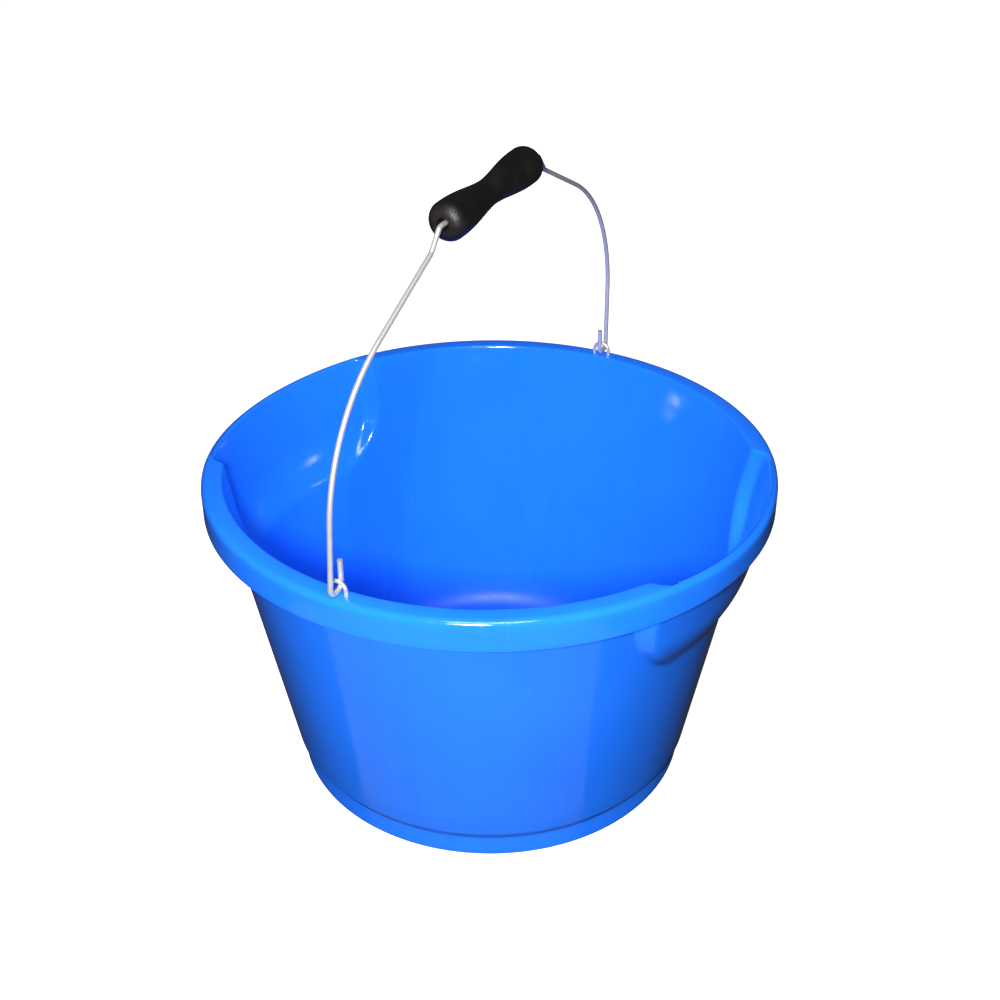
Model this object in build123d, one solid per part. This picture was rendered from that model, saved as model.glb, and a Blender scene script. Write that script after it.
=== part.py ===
from build123d import *
import math
import os

# Feed bucket: one moulded plastic bucket with a flanged rim and two pouring
# lips, two wire staples clinched through the flange, a bent wire bail hooked
# under the staples, and a loose plastic grip on the bail.
# Millimetres. The origin is the centre of the base on the ground, +Z is up,
# the bail hinges about X, and the pouring lips face +Y and -Y.

# Driving dimensions of the bucket
rim_radius = 190.0            # outside of the rim's skirt
bucket_height = 225.0         # ground to the crest of the rim
flange_reach = 10.8           # how far the rim stands out past the wall drawn up to the crest
wall_foot_radius = 141.6      # outside of the wall, just above the foot ring
wall = 3.0                    # moulded wall everywhere but the base
skirt_depth = 20.5            # crest of the rim to the skirt's lower edge
skirt_inner_round = 1.5       # corner between the flange and the skirt, underneath
inner_round = 1.2             # inner top corner of the rim
foot_set_back = 4.6           # the foot ring stands in from the wall by this much
foot_height = 15.0            # ground to the step above the foot ring
foot_step = 7.0               # height of the step, from the foot ring out to the wall
foot_round = 1.4              # lower outer corner of the foot ring
base_drop = 8.0               # the base's underside is this much below the foot ring's top
base_thickness = 3.2
base_corner = 16.0            # inside corner between the wall and the base

# Driving dimensions of the pouring lips
lip_set_back = 2.4            # the lip's wall, drawn up to the crest, stands in from the rim
lip_straight_depth = 48.0     # crest to where the lip's wall starts to curve in
lip_sweep_radius = 68.0       # curve that brings the lip back to the wall
lip_sweep_angle = 32.0        # how far that curve turns, in degrees
lip_half_width = 89.0         # half the lip's width where its ends meet its wall
lip_end_angle = 24.0          # the lip's ends spread by this much towards the inside
lip_edge_round = 13.0         # corner between a lip's end and its wall, outside
lip_front_half = 92.0         # half the lip's width, seen from in front
lip_depth = 86.0              # crest to the lip's lowest point, seen from in front
lip_low_round = 62.0          # large low corners of the lip, seen from in front
lip_dip = 2.2                 # the crest is this much lower in the middle of a lip

# Driving dimensions of the staples
staple_wire = 2.5
staple_set_back = 8.0         # a staple stands in from the rim's outside by this much
staple_side_room = 2.75       # from the hook's bar to a staple's leg, on each side
staple_top_room = 3.7         # from the hook's bar up to a staple's bow
staple_fit = 0.05             # radial clearance of a leg in its hole
staple_inner_bend = 0.2       # inside of the bend of a clinched leg
staple_clinch = 8.5           # how far a clinched end reaches from its leg

# Driving dimensions of the bail
bail_wire = 3.3
bail_gap = 0.3                # between the bail and the rim it lies on
hook_tail_room = 1.0          # from a staple's wire in to a hook's tail
hook_foot_room = 4.5          # from a staple's wire out to the foot of a leg
hook_tail_height = 18.5       # hinge axis to the end of a hook's tail
hook_bend = 4.2               # bends of the hook, at the wire's centre
leg_lean = 2.4                # a leg leans inward by this much, in degrees
shoulder_slope = 27.2         # fall of the shoulder away from the grip, in degrees
bow_radius = 110.0            # bend between a leg and its shoulder
shoulder_height = 168.0       # hinge axis to the shoulder's inner end
grip_line_height = 180.0      # hinge axis to the straight run that holds the grip
kink_run = 9.5                # how far the wire goes outward as it drops to the shoulder
kink_bend = 4.6               # bends of that drop, at the wire's centre
bow_shift = 5.5               # use has pushed the bow's top this far towards +X
bow_slant = 3.3               # and raised its +X side by this much, in degrees

# Driving dimensions of the grip
grip_length = 111.0
grip_end_radius = 12.6
grip_waist_radius = 8.6
grip_end_straight = 3.5       # length of the thickest part, before each end rounds off
grip_end_land = 1.0           # flat ring round each mouth of the bore
grip_fit = 0.10               # radial clearance of the grip on the wire
grip_mouth_flare = 2.5        # the bore widens by this much at its ends
grip_mouth_depth = 11.0
grip_room = 8.0               # from each end of the grip, when centred, to the kink's corner
grip_slide = 4.5              # the grip has slid this far down the slanted run, towards -X

# Worked out from the driving dimensions
wall_top_radius = rim_radius - flange_reach
rim_round = wall + skirt_inner_round
wall_low_height = foot_height + foot_step
draft = (wall_top_radius - wall_foot_radius) / (bucket_height - wall_low_height)
draft_angle = math.degrees(math.atan(draft))
draft_tilt = math.cos(math.radians(draft_angle))
wall_across = wall / draft_tilt
skirt_low = bucket_height - skirt_depth
foot_radius = wall_foot_radius - foot_set_back
base_recess = foot_height - base_drop
base_top = base_recess + base_thickness
lip_radius = rim_radius - lip_set_back
staple_place = rim_radius - staple_set_back
staple_span = bail_wire + staple_wire + 2 * staple_side_room
staple_height = bail_gap + bail_wire + staple_top_room + staple_wire
staple_bend = staple_inner_bend + staple_wire / 2
hook_tail_half = staple_place - staple_wire / 2 - hook_tail_room - bail_wire / 2
bail_foot_half = staple_place + staple_wire / 2 + hook_foot_room + bail_wire / 2
hinge_height = bucket_height + bail_gap + bail_wire / 2
run_half = grip_length / 2 + grip_room
shoulder_half = run_half + kink_run
grip_bore = bail_wire / 2 + grip_fit
grip_mouth_radius = grip_bore + grip_mouth_flare
grip_end_round = grip_end_radius - grip_mouth_radius - grip_end_land
grip_belly = grip_length / 2 - grip_end_round - grip_end_straight
over = 6.0                    # cutters run past the faces they cut by this much


def wall_radius(height):
    """Outside radius of the tapered wall at a height above the ground."""
    return wall_top_radius - draft * (bucket_height - height)


def cavity_radius(height):
    """Inside radius of the tapered wall at a height above the ground."""
    return wall_radius(height) - wall_across


def at(radius, height):
    """A point of a turned section, in the XZ plane."""
    return Vector(radius, 0, height)


def corner_near(section, radius, height):
    """The corner of a turned section nearest to a point."""
    return section.vertices().sort_by_distance(at(radius, height))[0]


def bucket_outside():
    """The turned bucket before it is hollowed: foot ring, wall, flange and skirt."""
    flange_low = bucket_height - wall
    skirt_inside = rim_radius - wall
    section = make_face(Polyline(
        at(0, 0),
        at(foot_radius, 0),
        at(foot_radius, foot_height),
        at(wall_radius(wall_low_height), wall_low_height),
        at(wall_radius(flange_low), flange_low),
        at(skirt_inside, flange_low),
        at(skirt_inside, skirt_low),
        at(rim_radius, skirt_low),
        at(rim_radius, bucket_height),
        at(0, bucket_height),
        close=True,
    ))
    section = fillet(corner_near(section, foot_radius, 0), foot_round)
    section = fillet(corner_near(section, skirt_inside, flange_low), rim_round - wall)
    section = fillet(corner_near(section, rim_radius, bucket_height), rim_round)
    return revolve(section, Axis.Z)


def bucket_cavity():
    """The room inside the tapered wall, above the base, with a rounded mouth."""
    mouth = cavity_radius(bucket_height) + inner_round
    section = make_face(Polyline(
        at(0, base_top),
        at(cavity_radius(base_top), base_top),
        at(cavity_radius(bucket_height), bucket_height),
        at(mouth + over, bucket_height),
        at(mouth + over, bucket_height + over),
        at(0, bucket_height + over),
        close=True,
    ))
    section = fillet(corner_near(section, cavity_radius(base_top), base_top), base_corner)
    section = fillet(corner_near(section, cavity_radius(bucket_height), bucket_height), inner_round)
    return revolve(section, Axis.Z)


def lip_backing():
    """Plastic that fills the skirt's hollow behind the pouring lips."""
    sunk = wall / 2
    section = make_face(Polyline(
        at(wall_radius(skirt_low) - sunk, skirt_low),
        at(rim_radius - sunk, skirt_low),
        at(rim_radius - sunk, bucket_height - rim_round),
        at(rim_radius - rim_round, bucket_height - sunk),
        at(wall_radius(bucket_height) - sunk, bucket_height - sunk),
        close=True,
    ))
    return revolve(section, Axis.Z) & lip_column(0)


def lip_section(inset):
    """Half section of a pouring lip: its drafted wall, then the curve back inward."""
    slope = math.radians(draft_angle)
    halfway = math.radians(draft_angle + lip_sweep_angle / 2)
    turn = math.radians(draft_angle + lip_sweep_angle)
    outward = Vector(math.cos(slope), 0, -math.sin(slope))
    upward = Vector(math.sin(slope), 0, math.cos(slope))
    start = at(lip_radius - draft * lip_straight_depth, bucket_height - lip_straight_depth)
    centre = start - outward * lip_sweep_radius
    reach = lip_sweep_radius - inset
    start = start - outward * inset
    middle = centre + Vector(math.cos(halfway), 0, -math.sin(halfway)) * reach
    low = centre + Vector(math.cos(turn), 0, -math.sin(turn)) * reach
    end = low - Vector(math.sin(turn), 0, math.cos(turn)) * over
    top = start + upward * ((bucket_height + over - start.Z) / upward.Z)
    outline = Polyline(start, top, at(0, top.Z), at(0, end.Z), end, low)
    outline += ThreePointArc(start, middle, low)
    return make_face(outline)


def lip_column(inset):
    """Upright bar across the bucket whose slanted ends bound both pouring lips."""
    spread = math.tan(math.radians(lip_end_angle))
    corner_reach = math.sqrt(lip_radius ** 2 - lip_half_width ** 2)
    outermost = rim_radius + over
    sink = inset / math.cos(math.radians(lip_end_angle))
    narrow = lip_half_width - sink - spread * (outermost - corner_reach)
    wide = narrow + spread * outermost
    plan = make_face(Polyline(
        (-wide, 0),
        (-narrow, outermost),
        (narrow, outermost),
        (wide, 0),
        close=True,
    ))
    column = extrude(plan, bucket_height + 2 * over)
    return column + mirror(column, Plane.XZ)


def lip_front(inset):
    """Block across the bucket with the lips' front outline: upright sides, large low corners."""
    half = lip_front_half - inset
    low = bucket_height - lip_depth + inset
    top = bucket_height + over
    outline = make_face(Polyline(at(-half, low), at(half, low), at(half, top), at(-half, top), close=True))
    low_corners = [corner_near(outline, side * half, low) for side in (-1, 1)]
    outline = fillet(low_corners, lip_low_round - inset)
    return extrude(outline, rim_radius + over, dir=(0, 1, 0), both=True)


def is_lip_end_edge(edge):
    """True for the edges where a lip's flat end meets its curved wall."""
    far_out = abs((edge @ 0.5).Y) > lip_half_width
    rises = abs((edge @ 0).Z - (edge @ 1).Z) > over / 2
    return far_out and rises


def lip_solid(inset):
    """Both pouring lips as one bar, drawn in all round by the inset."""
    bar = revolve(lip_section(inset), Axis.Z) & lip_column(inset)
    bar = fillet(bar.edges().filter_by(is_lip_end_edge), lip_edge_round - inset)
    return bar & lip_front(inset)


def crest_dip():
    """Long flat cylinder that lowers the crest a little along each pouring lip."""
    radius = (lip_half_width ** 2 + lip_dip ** 2) / (2 * lip_dip)
    across = Cylinder(radius, 2 * (rim_radius + over), rotation=(90, 0, 0))
    return Pos(0, 0, bucket_height - lip_dip + radius) * across


def staple_holes():
    """The four holes through the flange that the staples' legs stand in."""
    holes = []
    for side in (-1, 1):
        for leg in (-1, 1):
            spot = Pos(side * staple_place, leg * staple_span / 2, bucket_height - wall / 2)
            holes.append(spot * Cylinder(staple_wire / 2 + staple_fit, wall + over))
    return holes


def bucket():
    """The moulded bucket: wall, base, foot ring, flanged rim and two pouring lips."""
    below_crest = Pos(0, 0, bucket_height / 2) * Cylinder(rim_radius, bucket_height - wall)
    under_base = Cylinder(foot_radius - wall, base_recess, align=(Align.CENTER, Align.CENTER, Align.MIN))
    body = bucket_outside() + lip_backing() + (lip_solid(0) & below_crest)
    body = body - bucket_cavity() - lip_solid(wall) - under_base
    return body - crest_dip() - staple_holes()


def wire_along(points, bends, diameter):
    """Round wire bent along straight runs; one bend radius for each inner corner."""
    path = FilletPolyline(*points, radius=bends)
    start = Plane(origin=path @ 0, z_dir=path % 0)
    return sweep(start * Circle(diameter / 2), path=path)


def staple(side):
    """Wire staple over a hook of the bail, its ends clinched under the flange."""
    place = side * staple_place
    half = staple_span / 2
    top = bucket_height + staple_height - staple_wire / 2
    under = bucket_height - wall - staple_bend
    points = [
        (place, -half - staple_clinch, under),
        (place, -half, under),
        (place, -half, top),
        (place, half, top),
        (place, half, under),
        (place, half + staple_clinch, under),
    ]
    bends = [staple_bend, half - 0.01, half - 0.01, staple_bend]
    return wire_along(points, bends, staple_wire)


def hook_half():
    """Corners of one hook, from the end of its tail to the foot of its leg."""
    return [(hook_tail_half, hook_tail_height), (hook_tail_half, 0), (bail_foot_half, 0)]


def bow_half():
    """Corners of one half of the true bow, from its leg's bend to the grip's line."""
    lean = math.tan(math.radians(leg_lean))
    fall = math.tan(math.radians(shoulder_slope))
    corner = (bail_foot_half - lean * (shoulder_height + fall * shoulder_half)) / (1 - lean * fall)
    corner_height = shoulder_height - fall * (corner - shoulder_half)
    return [(corner, corner_height), (shoulder_half, shoulder_height), (run_half, grip_line_height)]


def pushed(x, height):
    """Where use has moved a point of the true bow, more the higher it is."""
    share = height / grip_line_height
    lift = share * x * math.tan(math.radians(bow_slant))
    return Vector(x + math.sqrt(share) * bow_shift, 0, hinge_height + height + lift)


def bail_side(side):
    """Corners of the bail on one side, from its hook's tail to the grip's line."""
    hook = [Vector(side * x, 0, hinge_height + height) for x, height in hook_half()]
    bow = [pushed(side * x, height) for x, height in bow_half()]
    return hook + bow


def bail():
    """Bent wire bail: two hooks, two legs, two shoulders and a straight run for the grip."""
    bends = [hook_bend, hook_bend, bow_radius, kink_bend, kink_bend]
    return wire_along(bail_side(-1) + bail_side(1)[::-1], bends + bends[::-1], bail_wire)


def grip():
    """Waisted plastic grip with rounded ends and a bore that flares at both ends."""
    half = grip_length / 2
    shoulder = half - grip_end_round
    ring = grip_end_radius - grip_end_round
    reach = grip_end_round * math.sin(math.radians(45))
    waist = Spline(
        at(-grip_belly, grip_end_radius),
        at(0, grip_waist_radius),
        at(grip_belly, grip_end_radius),
        tangents=[(1, 0, 0), (1, 0, 0)],
    )
    outline = Polyline(
        at(-half, ring),
        at(-half, grip_mouth_radius),
        at(grip_mouth_depth - half, grip_bore),
        at(half - grip_mouth_depth, grip_bore),
        at(half, grip_mouth_radius),
        at(half, ring),
    )
    for side in (-1, 1):
        end = at(side * half, ring)
        middle = at(side * (shoulder + reach), ring + reach)
        outline += ThreePointArc(end, middle, at(side * shoulder, grip_end_radius))
        outline += Line(at(side * shoulder, grip_end_radius), at(side * grip_belly, grip_end_radius))
    outline += waist
    place = Pos(pushed(0, grip_line_height)) * Rot(0, -bow_slant, 0) * Pos(-grip_slide, 0, 0)
    return place * revolve(make_face(outline), Axis.X)


pieces = {
    "bucket": bucket(),
    "staple_left": staple(-1),
    "staple_right": staple(1),
    "bail_wire": bail(),
    "grip": grip(),
}

os.makedirs("parts", exist_ok=True)
for name, piece in pieces.items():
    export_step(piece, f"parts/{name}.step")
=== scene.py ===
# %% [markdown]
# # A feed bucket
# A round plastic bucket for feeding horses: a tapered wall, a flanged rim with two shallow
# pouring lips, a wire bail hooked under two staples, and a black plastic grip.
# The exact parts come first, from the frame. They hold every size and place, so the lesson
# only has to give each part its skin and its finish.

# %% Load the frame
import math

import bmesh
import bpy
from mathutils import Matrix, Vector


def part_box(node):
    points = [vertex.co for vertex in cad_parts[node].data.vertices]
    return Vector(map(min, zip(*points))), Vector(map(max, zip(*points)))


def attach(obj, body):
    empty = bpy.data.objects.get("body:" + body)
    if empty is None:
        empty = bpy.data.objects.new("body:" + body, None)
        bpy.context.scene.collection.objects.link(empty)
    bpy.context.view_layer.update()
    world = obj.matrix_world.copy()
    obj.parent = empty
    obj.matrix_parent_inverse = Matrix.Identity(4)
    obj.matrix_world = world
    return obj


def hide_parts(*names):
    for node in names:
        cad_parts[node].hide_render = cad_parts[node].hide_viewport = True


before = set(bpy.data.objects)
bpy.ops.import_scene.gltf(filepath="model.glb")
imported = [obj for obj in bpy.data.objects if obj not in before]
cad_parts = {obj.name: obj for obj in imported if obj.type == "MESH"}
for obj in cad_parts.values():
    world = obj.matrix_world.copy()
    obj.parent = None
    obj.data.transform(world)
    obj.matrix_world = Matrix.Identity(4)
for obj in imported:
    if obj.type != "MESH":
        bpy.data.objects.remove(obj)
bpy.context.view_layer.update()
mm = 0.001

# %% [markdown]
# ## The sizes the skin has to follow
# The frame tells the outside of each part. A moulding also has an inside, a draft and small
# rounds, and those are the mould maker's own numbers, so they are written here once, in
# millimetres. Everything else is worked out from them.
# The skin could copy the exact part's own faces, but one section is shorter to state, and a
# change to a size then carries through the whole skin.

# %% Sizes of the bucket
bucket_low, bucket_high = (Vector(corner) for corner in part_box("bucket"))
rim_radius = (bucket_high.x - bucket_low.x) / 2 / mm
rim_height = bucket_high.z / mm
wall = 3.0
flange_width = 10.8
wall_top_radius = rim_radius - flange_width
wall_foot_radius = 141.6
foot_radius = 137.0
foot_height = 15.0
step_top = 22.0
base_under = 7.0
base_top = 10.2
base_corner = 16.0
skirt_depth = 20.5
skirt_low = rim_height - skirt_depth
flange_low = rim_height - wall
draft = (wall_top_radius - wall_foot_radius) / (rim_height - step_top)
wall_across = wall * math.sqrt(1 + draft ** 2)
print("bucket: rim radius", rim_radius, "height", rim_height, "draft", round(draft, 4))


def outside_radius(height):
    """Radius of the outside of the tapered wall, in millimetres."""
    return wall_top_radius - draft * (rim_height - height)


def inside_radius(height):
    """Radius of the inside of the tapered wall, in millimetres."""
    return outside_radius(height) - wall_across


# %% [markdown]
# ## The camera
# A camera is a point, an aim and a lens. This one stands a little under a metre away and
# looks down at the rim at about 29 degrees, from beside the left staple, as a person does
# who is about to pick the bucket up. A small shift sets the bucket low in the frame.

# %% Camera
look_turn = math.radians(28.35)
look_down = math.radians(29.185)
camera_roll = math.radians(0.454)
camera_distance = 944.3 * mm
aim = Vector((0, 0, 221.12 * mm))
ahead = Vector((math.cos(look_turn) * math.cos(look_down),
                math.sin(look_turn) * math.cos(look_down),
                -math.sin(look_down)))
level_right = ahead.cross(Vector((0, 0, 1))).normalized()
level_up = level_right.cross(ahead)
right = level_right * math.cos(camera_roll) - level_up * math.sin(camera_roll)
up = level_up * math.cos(camera_roll) + level_right * math.sin(camera_roll)

camera_data = bpy.data.cameras.new("camera")
camera_data.lens = 50.9
camera_data.sensor_width = 36.0
camera_data.shift_x = 0.0107
camera_data.shift_y = -0.0393
camera = bpy.data.objects.new("camera", camera_data)
bpy.context.collection.objects.link(camera)
pose = Matrix((right, up, -ahead)).transposed().to_4x4()
pose.translation = aim - ahead * camera_distance
camera.matrix_world = pose
bpy.context.scene.camera = camera
print("camera at", [round(c, 3) for c in pose.translation])

# %% [markdown]
# ## The floor and the room
# The floor is one pale plane. Glossy plastic shows whatever stands round it, and a studio
# for shiny goods keeps the sides of the room dark so that the edges of the object read
# dark against the pale background. The floor is left out of reflections for that reason.

# %% Floor and world
floor_mesh = bpy.data.meshes.new("floor")
floor_half = 30.0
floor_mesh.from_pydata([(-floor_half, -floor_half, 0), (floor_half, -floor_half, 0),
                        (floor_half, floor_half, 0), (-floor_half, floor_half, 0)],
                       [], [(0, 1, 2, 3)])
floor = bpy.data.objects.new("floor", floor_mesh)
bpy.context.collection.objects.link(floor)
floor.visible_glossy = False
floor.visible_diffuse = False

floor_material = bpy.data.materials.new("pale floor")
floor_material.use_nodes = True
floor_shader = floor_material.node_tree.nodes["Principled BSDF"]
floor_grey = 0.55
floor_shader.inputs["Base Color"].default_value = (floor_grey, floor_grey, floor_grey, 1)
floor_shader.inputs["Roughness"].default_value = 0.9
floor_shader.inputs["Specular IOR Level"].default_value = 0.0
floor_shader.inputs["Emission Color"].default_value = (1, 1, 1, 1)
floor_shader.inputs["Emission Strength"].default_value = 1.0
floor_mesh.materials.append(floor_material)

world = bpy.data.worlds.new("studio")
bpy.context.scene.world = world
world.use_nodes = True
room = world.node_tree
seen = room.nodes.new("ShaderNodeLightPath")
backdrop = room.nodes.new("ShaderNodeBackground")
backdrop.inputs["Color"].default_value = (1, 1, 1, 1)
backdrop.inputs["Strength"].default_value = 1.0
surround = room.nodes["Background"]
surround.inputs["Color"].default_value = (0.96, 0.98, 1.0, 1)
surround.inputs["Strength"].default_value = 0.04
choose = room.nodes.new("ShaderNodeMixShader")
room.links.new(seen.outputs["Is Camera Ray"], choose.inputs["Fac"])
room.links.new(surround.outputs["Background"], choose.inputs[1])
room.links.new(backdrop.outputs["Background"], choose.inputs[2])
room.links.new(choose.outputs["Shader"], room.nodes["World Output"].inputs["Surface"])
bpy.context.scene.view_settings.view_transform = "Standard"
bpy.context.scene.view_settings.look = "None"
print("floor and world ready")

# %% [markdown]
# ## The lights
# A small soft box stands beside the camera, a little to its left, so the front is bright and
# both edges fall off into deep colour. A weaker one above it reaches down into the bucket.
# One behind keeps the far side readable, and is left out of reflections. A pale card
# lies on the floor in front: its reflection is the lighter band that runs down the wall.

# %% Lights


def soft_box(name, place, target, width, height, power):
    """A rectangular area light that faces a target and doesn't show itself."""
    light = bpy.data.lights.new(name, "AREA")
    light.shape = "RECTANGLE"
    light.size = width
    light.size_y = height
    light.energy = power
    box = bpy.data.objects.new(name, light)
    bpy.context.collection.objects.link(box)
    toward = (Vector(target) - Vector(place)).to_track_quat("-Z", "Y")
    box.matrix_world = Matrix.Translation(Vector(place)) @ toward.to_matrix().to_4x4()
    box.visible_camera = False
    return box


middle = Vector((0, 0, 0.12))
key_distance = 0.95
key_left = 0.085
key_down = 0.02
key_size = 0.10
key_power = 17
key_place = aim - ahead * key_distance - level_right * key_left - level_up * key_down
soft_box("key soft box", key_place, middle, key_size, key_size, key_power)
level_ahead = Vector((ahead.x, ahead.y, 0)).normalized()
top_back = 0.72
top_rise = 1.15
top_power = 7
top_place = middle - level_ahead * top_back + Vector((0, 0, top_rise))
soft_box("top soft box", top_place, middle, 0.5, 0.4, top_power)

# Corners of the card in millimetres: away from the camera, then to the right.
card_corners = [(-105, -60), (-165, -420), (-700, -420), (-700, 270), (-300, 270), (-110, 45)]
card_mesh = bpy.data.meshes.new("reflector card")
card_lift = Vector((0, 0, 1 * mm))
card_mesh.from_pydata([(level_ahead * away + level_right * side) * mm + card_lift
                       for away, side in card_corners], [], [tuple(range(len(card_corners)))])
card = bpy.data.objects.new("reflector card", card_mesh)
bpy.context.collection.objects.link(card)
card.visible_camera = False
card.visible_shadow = False
card.visible_diffuse = False
card_material = bpy.data.materials.new("pale card")
card_material.use_nodes = True
card_shader = card_material.node_tree.nodes["Principled BSDF"]
card_shader.inputs["Base Color"].default_value = (0.05, 0.05, 0.05, 1)
card_shader.inputs["Specular IOR Level"].default_value = 0.0
card_shader.inputs["Emission Color"].default_value = (1, 1, 1, 1)
card_shader.inputs["Emission Strength"].default_value = 0.24
card_mesh.materials.append(card_material)

back_distance = 1.7
back_rise = 0.45
back_power = 14
back_place = middle + level_ahead * back_distance + Vector((0, 0, back_rise))
back_light = soft_box("back soft box", back_place, middle, 1.2, 0.8, back_power)
back_light.visible_glossy = False
print("lights placed")

# %% [markdown]
# ## Arithmetic that turns into nodes
# A Geometry Nodes tree is a picture of arithmetic. Written as Python sums it is easier to
# read, so a small wrapper makes one Math node for each operation.

# %% A field of numbers


class Field:
    """A number that varies over a surface. Each sum with it adds a Math node to its tree."""

    def __init__(self, tree, socket):
        self.tree = tree
        self.socket = socket

    def math(self, operation, *others):
        node = self.tree.nodes.new("ShaderNodeMath")
        node.operation = operation
        for slot, value in enumerate((self,) + others):
            if isinstance(value, Field):
                self.tree.links.new(value.socket, node.inputs[slot])
            else:
                node.inputs[slot].default_value = value
        return Field(self.tree, node.outputs[0])

    def constant(self, value):
        return self.math("MULTIPLY", 0.0) + value

    def __add__(self, other):
        return self.math("ADD", other)

    def __sub__(self, other):
        return self.math("SUBTRACT", other)

    def __mul__(self, other):
        return self.math("MULTIPLY", other)

    def __truediv__(self, other):
        return self.math("DIVIDE", other)

    def smooth_step(self, low, high):
        """0 below low, 1 above high, and an even curve between them."""
        node = self.tree.nodes.new("ShaderNodeMapRange")
        node.interpolation_type = "SMOOTHSTEP"
        node.inputs["From Min"].default_value = low
        node.inputs["From Max"].default_value = high
        self.tree.links.new(self.socket, node.inputs["Value"])
        return Field(self.tree, node.outputs["Result"])


def new_tree(name, sizes):
    """A Geometry Nodes tree with a geometry in and out, and one named input for each size."""
    tree = bpy.data.node_groups.new(name, "GeometryNodeTree")
    tree.is_modifier = True
    tree.interface.new_socket("Geometry", in_out="INPUT", socket_type="NodeSocketGeometry")
    for size in sizes:
        kind = "NodeSocketInt" if isinstance(sizes[size], int) else "NodeSocketFloat"
        tree.interface.new_socket(size, in_out="INPUT", socket_type=kind)
    tree.interface.new_socket("Material", in_out="INPUT", socket_type="NodeSocketMaterial")
    tree.interface.new_socket("Geometry", in_out="OUTPUT", socket_type="NodeSocketGeometry")
    return tree


def finish_tree(tree, geometry):
    """Ends a tree in Realize Instances, Set Shade Smooth and Set Material."""
    inputs = tree.nodes.new("NodeGroupInput")
    realize = tree.nodes.new("GeometryNodeRealizeInstances")
    smooth = tree.nodes.new("GeometryNodeSetShadeSmooth")
    paint = tree.nodes.new("GeometryNodeSetMaterial")
    out = tree.nodes.new("NodeGroupOutput")
    tree.links.new(geometry, realize.inputs["Geometry"])
    tree.links.new(realize.outputs["Geometry"], smooth.inputs["Geometry"])
    tree.links.new(smooth.outputs["Geometry"], paint.inputs["Geometry"])
    tree.links.new(inputs.outputs["Material"], paint.inputs["Material"])
    tree.links.new(paint.outputs["Geometry"], out.inputs["Geometry"])


def grown(name, start, tree, sizes, material):
    """Runs a tree on a starting mesh and keeps the result as a plain mesh object."""
    piece = bpy.data.objects.new(name, start)
    bpy.context.collection.objects.link(piece)
    modifier = piece.modifiers.new("grow", "NODES")
    modifier.node_group = tree
    for socket in tree.interface.items_tree:
        if socket.in_out == "INPUT" and socket.name in sizes:
            modifier[socket.identifier] = sizes[socket.name]
        if socket.in_out == "INPUT" and socket.name == "Material":
            modifier[socket.identifier] = material
    piece.update_tag()
    evaluated = piece.evaluated_get(bpy.context.evaluated_depsgraph_get())
    result = bpy.data.meshes.new_from_object(evaluated)
    result.name = name
    piece.modifiers.remove(modifier)
    piece.data = result
    if not result.materials:
        result.materials.append(material)
    face_outwards(result)
    print(name, len(result.vertices), "points", len(result.polygons), "faces")
    return piece


def face_outwards(mesh):
    """Makes the faces of a closed mesh consistent and turns them outwards."""
    work = bmesh.new()
    work.from_mesh(mesh)
    bmesh.ops.recalc_face_normals(work, faces=work.faces)
    if work.calc_volume(signed=True) < 0:
        bmesh.ops.reverse_faces(work, faces=work.faces)
    work.to_mesh(mesh)
    work.free()


# %% [markdown]
# ## The finish of the bucket
# The bucket is polypropylene from a polished mould: deep even colour, a soft gloss, a very
# faint ripple that only reflections show, and the fine scuffs of a stable yard. The colour
# could be one flat value, but then nothing tells a moulding from paint, so clouds of
# slightly deeper pigment, flow marks and scuffs are mixed in at their own scales. Low down
# the gloss is worn off, outside by the ground and inside by feed.

# %% Helpers for materials


def new_material(name):
    """A material with its tree, its shader and the object's own coordinates."""
    material = bpy.data.materials.new(name)
    material.use_nodes = True
    tree = material.node_tree
    shader = tree.nodes["Principled BSDF"]
    coordinates = tree.nodes.new("ShaderNodeTexCoord").outputs["Object"]
    return material, tree, shader, coordinates


def stretched(tree, coordinates, scale):
    """The coordinates scaled by a different amount along each axis."""
    node = tree.nodes.new("ShaderNodeMapping")
    node.inputs["Scale"].default_value = scale
    tree.links.new(coordinates, node.inputs["Vector"])
    return node.outputs["Vector"]


def noise(tree, coordinates, scale, detail=3.0, roughness=0.5):
    """A cloudy pattern from 0 to 1."""
    node = tree.nodes.new("ShaderNodeTexNoise")
    node.inputs["Scale"].default_value = scale
    node.inputs["Detail"].default_value = detail
    node.inputs["Roughness"].default_value = roughness
    tree.links.new(coordinates, node.inputs["Vector"])
    return node.outputs["Fac"]


def remap(tree, value, low, high, out_low, out_high):
    """A value carried from one range to another and held inside it."""
    node = tree.nodes.new("ShaderNodeMapRange")
    node.inputs["From Min"].default_value = low
    node.inputs["From Max"].default_value = high
    node.inputs["To Min"].default_value = out_low
    node.inputs["To Max"].default_value = out_high
    tree.links.new(value, node.inputs["Value"])
    return node.outputs["Result"]


def blend_colors(tree, factor, first, second):
    """A colour between two colours, or between a socket's colour and another."""
    node = tree.nodes.new("ShaderNodeMix")
    node.data_type = "RGBA"
    tree.links.new(factor, node.inputs["Factor"])
    for index, color in ((6, first), (7, second)):
        if isinstance(color, bpy.types.NodeSocket):
            tree.links.new(color, node.inputs[index])
        else:
            node.inputs[index].default_value = (*color, 1)
    return node.outputs[2]


def bumped(tree, shader, height, distance, strength=1.0, under=None):
    """Adds a height pattern to a shader's normal, over an earlier one if it is given."""
    node = tree.nodes.new("ShaderNodeBump")
    node.inputs["Distance"].default_value = distance
    node.inputs["Strength"].default_value = strength
    tree.links.new(height, node.inputs["Height"])
    if under is not None:
        tree.links.new(under, node.inputs["Normal"])
    tree.links.new(node.outputs["Normal"], shader.inputs["Normal"])
    return node.outputs["Normal"]


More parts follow.
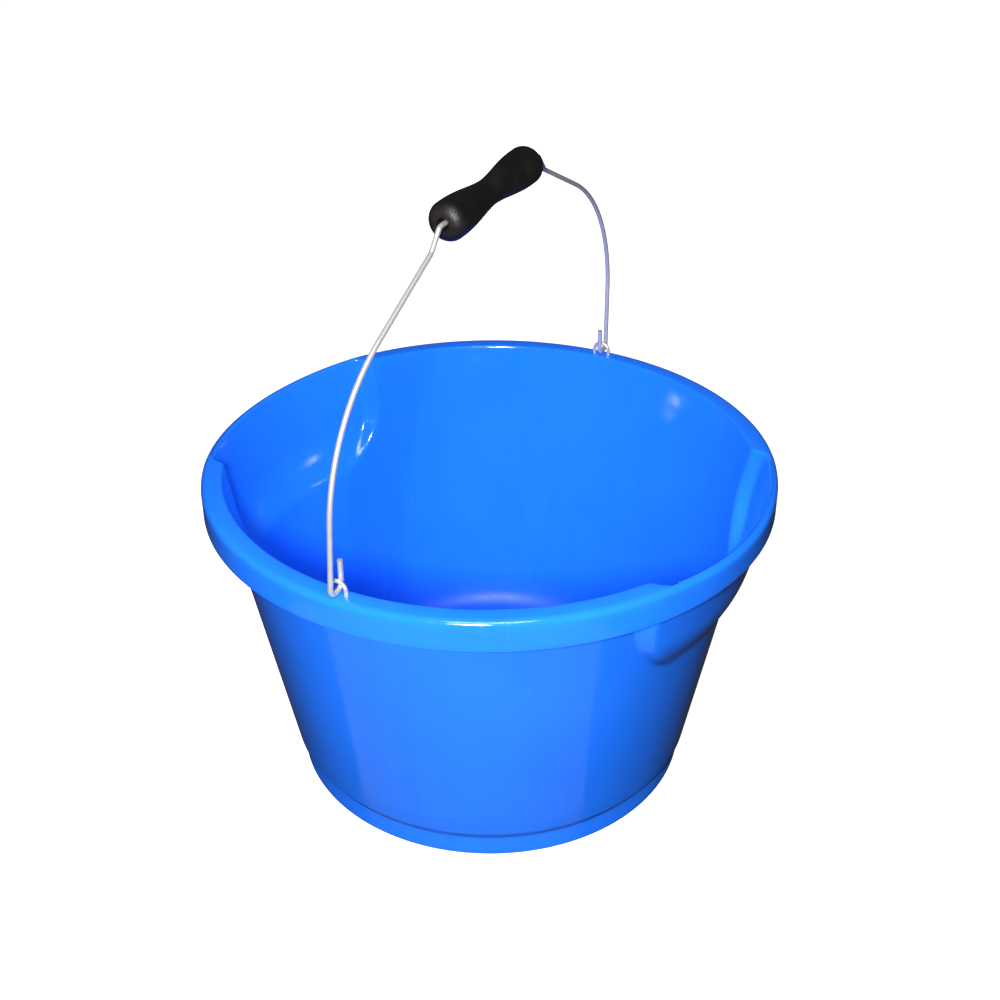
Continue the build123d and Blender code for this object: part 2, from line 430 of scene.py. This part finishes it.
# %% Blue moulded plastic
def blue_plastic():
    """Glossy blue polypropylene with pigment clouds, flow marks and fine scuffs."""
    material, tree, shader, coordinates = new_material("blue moulded plastic")
    clouds = noise(tree, coordinates, 9.0, 4.0)
    tint = blend_colors(tree, remap(tree, clouds, 0.35, 0.65, 0, 1),
                        (0.0125, 0.170, 0.93), (0.0095, 0.155, 0.88))
    flow = noise(tree, stretched(tree, coordinates, (60, 60, 4)), 1.0, 3.0)
    tint = blend_colors(tree, remap(tree, flow, 0.55, 0.75, 0, 0.35), tint, (0.008, 0.140, 0.83))
    scuffs = noise(tree, stretched(tree, coordinates, (220, 220, 30)), 1.0, 5.0, 0.65)
    scuffed = remap(tree, scuffs, 0.66, 0.80, 0, 0.5)
    tint = blend_colors(tree, scuffed, tint, (0.03, 0.26, 0.90))
    tree.links.new(tint, shader.inputs["Base Color"])
    height = tree.nodes.new("ShaderNodeSeparateXYZ")
    tree.links.new(coordinates, height.inputs["Vector"])
    dulled = remap(tree, height.outputs["Z"], 0.020, 0.045, 0.34, 0.0)
    gloss = tree.nodes.new("ShaderNodeMath")
    tree.links.new(remap(tree, scuffs, 0.45, 0.80, 0.09, 0.24), gloss.inputs[0])
    tree.links.new(dulled, gloss.inputs[1])
    tree.links.new(gloss.outputs["Value"], shader.inputs["Roughness"])
    shader.inputs["IOR"].default_value = 1.49
    ripple = noise(tree, coordinates, 14.0, 2.0)
    first = bumped(tree, shader, ripple, 0.0006, 0.35)
    peel = noise(tree, coordinates, 260.0, 2.0)
    bumped(tree, shader, peel, 0.00006, 0.35, first)
    return material


blue = blue_plastic()
print("made", blue.name)

# %% [markdown]
# ## The section of the bucket
# The bucket is turned before it is anything else: one closed section, spun round the
# axis. The section runs from the middle of the underside, out to the foot ring, up the
# outside, under the flange, down and up the skirt, over the rim and down the inside. Each
# corner has the small round that a mould has.

# %% Draw a section with rounded corners


def rounded_section(corners):
    """Points along runs between corners (radius, height, round, spacing of the run before)."""
    points = []
    for index, (r, z, bend, spacing) in enumerate(corners):
        here = Vector((r, z))
        if index in (0, len(corners) - 1) or bend == 0:
            turned = [here]
        else:
            back = (Vector(corners[index - 1][:2]) - here).normalized()
            on = (Vector(corners[index + 1][:2]) - here).normalized()
            half = back.angle(on) / 2
            centre = here + (back + on).normalized() * bend / math.sin(half)
            start = here + back * bend / math.tan(half) - centre
            sweep = math.pi - 2 * half
            steps = max(3, math.ceil(math.degrees(sweep) / 20))
            side = 1 if back.x * on.y - back.y * on.x < 0 else -1
            turned = []
            for step in range(steps + 1):
                turn = side * sweep * step / steps
                spun = Vector((start.x * math.cos(turn) - start.y * math.sin(turn),
                               start.x * math.sin(turn) + start.y * math.cos(turn)))
                turned.append(centre + spun)
        if points:
            gap = turned[0] - points[-1]
            cuts = max(1, math.ceil(gap.length / spacing))
            points += [points[-1] + gap * step / cuts for step in range(1, cuts)]
            if gap.length > 1e-6:
                points.append(turned[0])
        else:
            points.append(turned[0])
        points += turned[1:]
    return points


plain = 14.0
fine = 2.6
edge = 4.6
lips_end = 128.0
bucket_corners = [
    (0, base_under, 0, plain),
    (foot_radius - wall, base_under, 1.5, plain * 2),
    (foot_radius - wall, 0, 0.5, edge),
    (foot_radius, 0, 1.4, edge),
    (foot_radius, foot_height, 1.5, edge),
    (outside_radius(step_top), step_top, 4.0, edge),
    (outside_radius(lips_end), lips_end, 0, plain),
    (outside_radius(flange_low), flange_low, 0.8, fine),
    (rim_radius - wall, flange_low, 1.5, edge),
    (rim_radius - wall, skirt_low, 0.7, edge),
    (rim_radius, skirt_low, 0.9, edge),
    (rim_radius, rim_height, 4.5, edge),
    (inside_radius(rim_height), rim_height, 2.0, edge),
    (inside_radius(lips_end), lips_end, 0, fine),
    (inside_radius(base_top), base_top, base_corner, plain),
    (0, base_top, 0, plain * 2),
]
bucket_section = rounded_section(bucket_corners)
print("section of", len(bucket_section), "points")

# %% [markdown]
# ## Spin the section and press the lips
# A screw modifier could spin the section, but the two pouring lips still have to be pushed
# out of the wall, inside and outside alike. Both follow one rule: at any place on the
# wall, the lip's surface is the nearest of its own drafted wall, its slanted end and its
# front outline, which has large round low corners. The plastic lies wherever the lip or the
# wall is further out. Smooth minimum and smooth maximum say exactly that, and give the soft
# corners for nothing. The section's points stand close together only where the lips reach,
# so the mesh stays light.
#
# Three weights on the section say which skin a point belongs to: the outside wall, the
# inside wall, or the hollow under the flange, which is solid behind a lip.

# %% Weights of the section
skirt_turn = max(range(len(bucket_section)),
                 key=lambda i: (abs(bucket_section[i].x - (rim_radius - wall)) < 0.01)
                 * (rim_height - bucket_section[i].y))
weights = {"outside": [], "inside": [], "hollow": [], "crown": []}
flange_reach = rim_radius - wall - outside_radius(flange_low)
crest_out = rim_radius - 4.5
crest_in = inside_radius(rim_height) + 2.0
for index, (r, z) in enumerate(bucket_section):
    before_skirt = index <= skirt_turn
    on_outside = before_skirt and z >= step_top
    past_wall = (r - outside_radius(flange_low)) / flange_reach
    weights["outside"].append(min(1, max(0, 1 - past_wall)) if on_outside else 0.0)
    in_hollow = on_outside and z > skirt_low and r < rim_radius - wall + 0.01
    weights["hollow"].append(1.0 if in_hollow else 0.0)
    over_crest = (crest_out - r) / (crest_out - crest_in)
    inner = (not before_skirt) and z > base_top + base_corner and r < crest_out
    weights["inside"].append(min(1, max(0, over_crest)) if inner else 0.0)
    high = (z - (skirt_low + 6)) / (rim_height - skirt_low - 6)
    weights["crown"].append(min(1, max(0, high)) if not before_skirt else 0.0)


def section_mesh(name, section, extra=None):
    """A chain of points in the XZ plane, in metres, with its weights as attributes."""
    mesh = bpy.data.meshes.new(name)
    chain = [(index, index + 1) for index in range(len(section) - 1)]
    mesh.from_pydata([(r * mm, 0, z * mm) for r, z in section], chain, [])
    for key, values in (extra or {}).items():
        layer = mesh.attributes.new(key, "FLOAT", "POINT")
        layer.data.foreach_set("value", values)
    return mesh


# %% The turning part of a tree


def turn_section(tree, inputs, weight_names):
    """Nodes that spin the incoming section round Z. Returns the blank and its fields."""
    nodes, links = tree.nodes, tree.links
    count = nodes.new("GeometryNodeAttributeDomainSize")
    links.new(inputs.outputs["Geometry"], count.inputs["Geometry"])
    points = Field(tree, count.outputs["Point Count"])
    steps = Field(tree, inputs.outputs["Steps around"])
    grid = nodes.new("GeometryNodeMeshGrid")
    grid.inputs["Size X"].default_value = 1.0
    grid.inputs["Size Y"].default_value = 1.0
    links.new((steps + 1).socket, grid.inputs["Vertices X"])
    links.new(points.socket, grid.inputs["Vertices Y"])
    split = nodes.new("ShaderNodeSeparateXYZ")
    links.new(nodes.new("GeometryNodeInputPosition").outputs["Position"], split.inputs["Vector"])
    angle = (Field(tree, split.outputs["X"]) + 0.5) * (2 * math.pi)
    index = ((Field(tree, split.outputs["Y"]) + 0.5) * (points - 1)).math("ROUND")

    def sampled(kind, value):
        node = nodes.new("GeometryNodeSampleIndex")
        node.data_type = kind
        node.domain = "POINT"
        links.new(inputs.outputs["Geometry"], node.inputs["Geometry"])
        links.new(value, node.inputs["Value"])
        links.new(index.socket, node.inputs["Index"])
        return node.outputs["Value"]

    place = nodes.new("ShaderNodeSeparateXYZ")
    links.new(sampled("FLOAT_VECTOR", nodes.new("GeometryNodeInputPosition").outputs["Position"]),
              place.inputs["Vector"])
    fields = {}
    for name in weight_names:
        attribute = nodes.new("GeometryNodeInputNamedAttribute")
        attribute.data_type = "FLOAT"
        attribute.inputs["Name"].default_value = name
        fields[name] = Field(tree, sampled("FLOAT", attribute.outputs["Attribute"]))
    radius = Field(tree, place.outputs["X"])
    height = Field(tree, place.outputs["Z"])
    return grid.outputs["Mesh"], angle, radius, height, fields


def set_turned(tree, blank, angle, radius, height):
    """Puts the blank's points at an angle, radius and height, and closes its seams."""
    join = tree.nodes.new("ShaderNodeCombineXYZ")
    tree.links.new((angle.math("COSINE") * radius).socket, join.inputs["X"])
    tree.links.new((angle.math("SINE") * radius).socket, join.inputs["Y"])
    tree.links.new(height.socket, join.inputs["Z"])
    move = tree.nodes.new("GeometryNodeSetPosition")
    tree.links.new(blank, move.inputs["Geometry"])
    tree.links.new(join.outputs["Vector"], move.inputs["Position"])
    merge = tree.nodes.new("GeometryNodeMergeByDistance")
    merge.inputs["Distance"].default_value = 0.000004
    tree.links.new(move.outputs["Geometry"], merge.inputs["Geometry"])
    return merge.outputs["Geometry"]


# %% The bucket's tree
bucket_sizes = {
    "Steps around": 560,
    "Rim height": rim_height * mm,
    "Draft": draft,
    "Wall": wall * mm,
    "Wall radius at rim": wall_top_radius * mm,
    "Lip radius at rim": 187.6 * mm,
    "Lip straight depth": 48.0 * mm,
    "Lip sweep radius": 68.0 * mm,
    "Lip half width": 89.0 * mm,
    "Lip end spread": math.tan(math.radians(24.0)),
    "Lip front half": 92.0 * mm,
    "Lip depth": 86.0 * mm,
    "Lip low round": 62.0 * mm,
    "Lip corner": 7.0 * mm,
    "Lip blend": 4.5 * mm,
    "Lip dip": 2.2 * mm,
    "Skirt edge": skirt_low * mm,
}


def bucket_tree():
    """Spins the section and presses two opposite pouring lips out of it."""
    tree = new_tree("turn the bucket and press its lips", bucket_sizes)
    inputs = tree.nodes.new("NodeGroupInput")
    size = {name: Field(tree, inputs.outputs[name]) for name in bucket_sizes}
    blank, angle, radius, height, weight = turn_section(tree, inputs, list(weights))
    below = size["Rim height"] - height
    across = angle.math("COSINE").math("ABSOLUTE")
    along = angle.math("SINE").math("ABSOLUTE")
    slope_cos = (size["Draft"] * size["Draft"] + 1).math("POWER", -0.5)
    slope_sin = size["Draft"] * slope_cos
    start_radius = size["Lip radius at rim"] - size["Draft"] * size["Lip straight depth"]
    centre_radius = start_radius - size["Lip sweep radius"] * slope_cos
    centre_below = size["Lip straight depth"] - size["Lip sweep radius"] * slope_sin
    lip_corner_out = (size["Lip radius at rim"].math("POWER", 2)
                      - size["Lip half width"].math("POWER", 2)).math("SQRT")
    end_reach = size["Lip half width"] + size["Lip end spread"] * lip_corner_out
    end_lean = (size["Lip end spread"].math("POWER", 2) + 1).math("SQRT")

    def skin(inset, corner):
        """Radius of the lip's skin, drawn in by an inset, at this angle and height."""
        straight = size["Lip radius at rim"] - size["Draft"] * below - inset / slope_cos
        sweep = size["Lip sweep radius"] - inset
        drop = below - centre_below
        curved = (sweep * sweep - drop * drop).math("MAXIMUM", 0.0).math("SQRT") + centre_radius
        in_sweep = below.math("GREATER_THAN", size["Lip straight depth"])
        own = straight + (curved - straight) * in_sweep
        reach = end_reach - inset * end_lean
        slanted = reach / (across + size["Lip end spread"] * along)
        sunk = (below - size["Lip depth"] + size["Lip low round"]).math("MAXIMUM", 0.0)
        bend = size["Lip low round"] - inset
        bowed = (bend * bend - sunk * sunk).math("MAXIMUM", 0.0).math("SQRT")
        front = size["Lip front half"] - size["Lip low round"] + bowed
        upright = front / across.math("MAXIMUM", 0.001)
        end = slanted.math("SMOOTH_MIN", upright, corner)
        return own.math("SMOOTH_MIN", end, corner), end

    nothing = size["Draft"].constant(0.0)
    outer_lip, outer_end = skin(nothing, size["Lip corner"])
    inner_lip, inner_end = skin(size["Wall"], size["Lip corner"] * 0.8)
    outer_wall = size["Wall radius at rim"] - size["Draft"] * below
    inner_wall = outer_wall - size["Wall"] / slope_cos
    push_out = outer_wall.math("SMOOTH_MAX", outer_lip, size["Lip blend"]) - outer_wall
    push_in = inner_wall.math("SMOOTH_MAX", inner_lip, size["Lip blend"]) - inner_wall
    solid = (outer_end - radius).smooth_step(-0.001, 0.002) * weight["hollow"]
    half_share = across * radius / size["Lip half width"]
    dip = (half_share * half_share * -1 + 1).math("MAXIMUM", 0.0) * size["Lip dip"]
    new_radius = radius + push_out * weight["outside"] + push_in * weight["inside"]
    raised = height - (height - size["Skirt edge"]) * solid * 0.985
    new_height = raised - dip * weight["crown"]
    finish_tree(tree, set_turned(tree, blank, angle, new_radius, new_height))
    return tree


bucket_skin = grown("bucket_skin", section_mesh("bucket section", bucket_section, weights),
                    bucket_tree(), bucket_sizes, blue)
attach(bucket_skin, "bucket_body")
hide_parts("bucket")

# %% [markdown]
# ## Galvanised wire
# The bail and the staples are drawn steel wire with a thin bright coat of zinc. It is a
# metal, so its colour is its reflection: bright where it sees a soft box, dark where it
# sees the room. Drawing leaves fine lines along the wire and zinc dulls in small patches.

# %% Wire finish


def zinc_wire():
    """Bright zinc with dull patches, a fine grain and a faint unevenness."""
    material, tree, shader, coordinates = new_material("galvanised wire")
    patches = noise(tree, coordinates, 160.0, 4.0)
    tint = blend_colors(tree, remap(tree, patches, 0.35, 0.7, 0, 1),
                        (0.78, 0.76, 0.72), (0.62, 0.61, 0.58))
    tree.links.new(tint, shader.inputs["Base Color"])
    shader.inputs["Metallic"].default_value = 0.70
    grain = noise(tree, coordinates, 900.0, 3.0)
    tree.links.new(remap(tree, patches, 0.3, 0.8, 0.30, 0.46), shader.inputs["Roughness"])
    first = bumped(tree, shader, patches, 0.00012, 0.5)
    bumped(tree, shader, grain, 0.00002, 0.5, first)
    return material


zinc = zinc_wire()
for node in ("bail_wire", "staple_left", "staple_right"):
    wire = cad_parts[node]
    wire.data.materials.clear()
    wire.data.materials.append(zinc)
print("zinc on the bail and the staples")

# %% [markdown]
# ## The grip
# A black moulded grip: waisted so that fingers settle in it, thicker at its ends, with a
# round rim at each end and a mouth where the wire goes in.

# %% Grip finish


def black_plastic():
    """Black plastic with a pebbled mould texture and a satin sheen."""
    material, tree, shader, coordinates = new_material("black pebbled plastic")
    wear = noise(tree, coordinates, 70.0, 4.0)
    tint = blend_colors(tree, remap(tree, wear, 0.4, 0.75, 0, 1),
                        (0.0050, 0.0042, 0.0040), (0.0110, 0.0095, 0.0088))
    tree.links.new(tint, shader.inputs["Base Color"])
    tree.links.new(remap(tree, wear, 0.3, 0.8, 0.38, 0.56), shader.inputs["Roughness"])
    shader.inputs["Specular IOR Level"].default_value = 0.32
    pebbles = tree.nodes.new("ShaderNodeTexVoronoi")
    pebbles.inputs["Scale"].default_value = 900.0
    tree.links.new(coordinates, pebbles.inputs["Vector"])
    bumped(tree, shader, pebbles.outputs["Distance"], 0.0002, 0.5)
    return material


black = black_plastic()
grip_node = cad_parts["grip"]
grip_node.data.materials.clear()
grip_node.data.materials.append(black)
print("black plastic on the grip")
